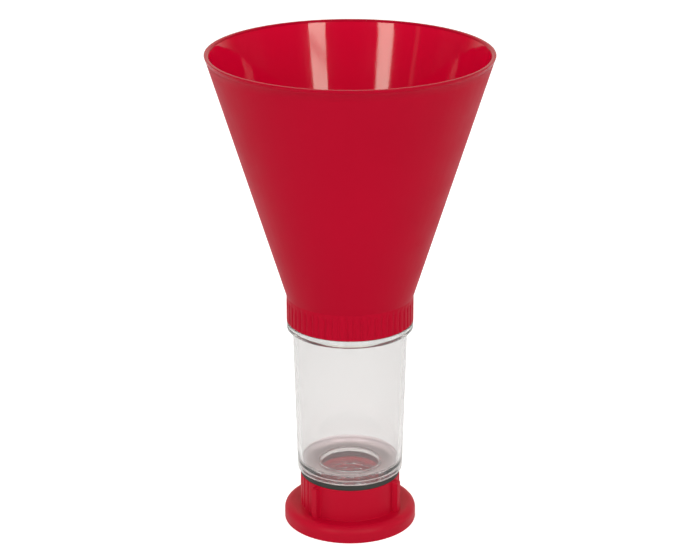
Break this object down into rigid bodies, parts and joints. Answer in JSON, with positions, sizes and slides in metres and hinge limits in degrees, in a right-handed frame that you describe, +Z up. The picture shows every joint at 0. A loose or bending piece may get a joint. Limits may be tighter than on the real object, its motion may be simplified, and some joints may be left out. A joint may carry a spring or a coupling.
{
  "type": "filler funnel with sight tube",
  "caption": "Wide red filler funnel screwed on a clear sight tube, with a gasketed, flanged adaptor at its foot that seats on a filler neck, for pouring fluids and watching the flow.",
  "frame": {"origin": "on the axis, at the underside of the adaptor's flange that the object stands on", "axes": "+Z up along the axis towards the funnel's mouth, -Y towards the picture's viewer"},
  "size_m": [0.151, 0.151, 0.2646],
  "materials": {
    "red_plastic": "satin moulded polypropylene, glossy inside the cone",
    "clear_plastic": "clear polished moulding",
    "black_rubber": "matt"
  },
  "bodies": {
    "adaptor": {"adaptor": "red_plastic", "neck_seal": "black_rubber"},
    "gasket": {"base_gasket": "black_rubber"},
    "tube": {"sight_tube": "clear_plastic"},
    "seal": {"funnel_seal": "black_rubber"},
    "funnel": {"funnel": "red_plastic"}
  },
  "joints": [
    {"name": "gasket_lift", "type": "slide", "parent": "adaptor", "child": "gasket", "axis": [0, 0, 1], "range_m": [0, 0.01201]},
    {"name": "tube_screw", "type": "hinge", "parent": "gasket", "child": "tube", "pos_m": [0, 0, 0.0309], "axis": [0, 0, 1], "range_deg": [0, 1440]},
    {"name": "seal_lift", "type": "slide", "parent": "tube", "child": "seal", "axis": [0, 0, 1], "range_m": [0, 0.00801]},
    {"name": "funnel_screw", "type": "hinge", "parent": "seal", "child": "funnel", "pos_m": [0, 0, 0.1305], "axis": [0, 0, 1], "range_deg": [0, 720]}
  ],
  "couplings": [
    {"joint": "gasket_lift", "follows": "tube_screw", "m_per_rad": 0.00047746},
    {"joint": "seal_lift", "follows": "funnel_screw", "m_per_rad": 0.00063662}
  ]
}
